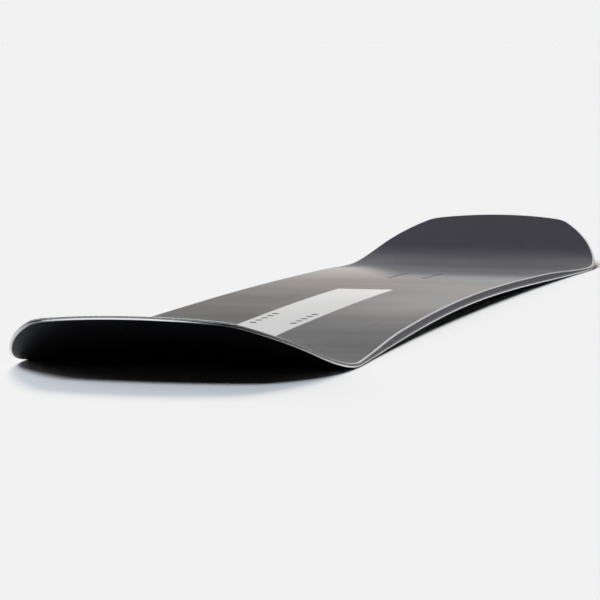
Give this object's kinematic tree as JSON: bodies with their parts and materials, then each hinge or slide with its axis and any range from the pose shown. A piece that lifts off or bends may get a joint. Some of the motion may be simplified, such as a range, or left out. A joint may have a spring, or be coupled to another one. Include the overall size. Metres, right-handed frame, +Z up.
{
  "type": "snowboard",
  "caption": "Snowboard with alike nose and tail, bare of bindings: a wood core sandwich with a black base, steel edges, dark sidewalls, a satin grey topsheet and threaded inserts.",
  "frame": {"origin": "under the middle of the board, on the plane that its two contact lines rest on", "axes": "+X from the nose to the tail, +Y to the toe side, +Z up from the snow"},
  "size_m": [1.5322, 0.303, 0.0569],
  "materials": {
    "base": "waxed, stone ground",
    "edge_steel": "ground bright",
    "foil": "dull",
    "laminate": "cured resin",
    "poplar": "planed",
    "beech": "planed",
    "sidewall": "planed",
    "spacer": "planed",
    "topsheet": "satin metallic",
    "insert_steel": "turned"
  },
  "bodies": {
    "root": {"base_sheet": "base", "steel_edge_heel": "edge_steel", "steel_edge_toe": "edge_steel", "rubber_foil_heel": "foil", "rubber_foil_toe": "foil", "lower_laminate": "laminate", "sidewall_heel": "sidewall", "sidewall_toe": "sidewall", "nose_spacer": "spacer", "tail_spacer": "spacer", "core_stringer_01": "poplar", "core_stringer_02": "beech", "core_stringer_03": "poplar", "core_stringer_04": "beech", "core_stringer_05": "poplar", "core_stringer_06": "beech", "core_stringer_07": "poplar", "core_stringer_08": "beech", "core_stringer_09": "poplar", "core_stringer_10": "beech", "core_stringer_11": "poplar", "upper_laminate": "laminate", "topsheet": "topsheet", "insert_front_heel_1": "insert_steel", "insert_front_heel_2": "insert_steel", "insert_front_heel_3": "insert_steel", "insert_front_heel_4": "insert_steel", "insert_front_heel_5": "insert_steel", "insert_front_toe_1": "insert_steel", "insert_front_toe_2": "insert_steel", "insert_front_toe_3": "insert_steel", "insert_front_toe_4": "insert_steel", "insert_front_toe_5": "insert_steel", "insert_rear_heel_1": "insert_steel", "insert_rear_heel_2": "insert_steel", "insert_rear_heel_3": "insert_steel", "insert_rear_heel_4": "insert_steel", "insert_rear_heel_5": "insert_steel", "insert_rear_toe_1": "insert_steel", "insert_rear_toe_2": "insert_steel", "insert_rear_toe_3": "insert_steel", "insert_rear_toe_4": "insert_steel", "insert_rear_toe_5": "insert_steel"}
  },
  "joints": []
}
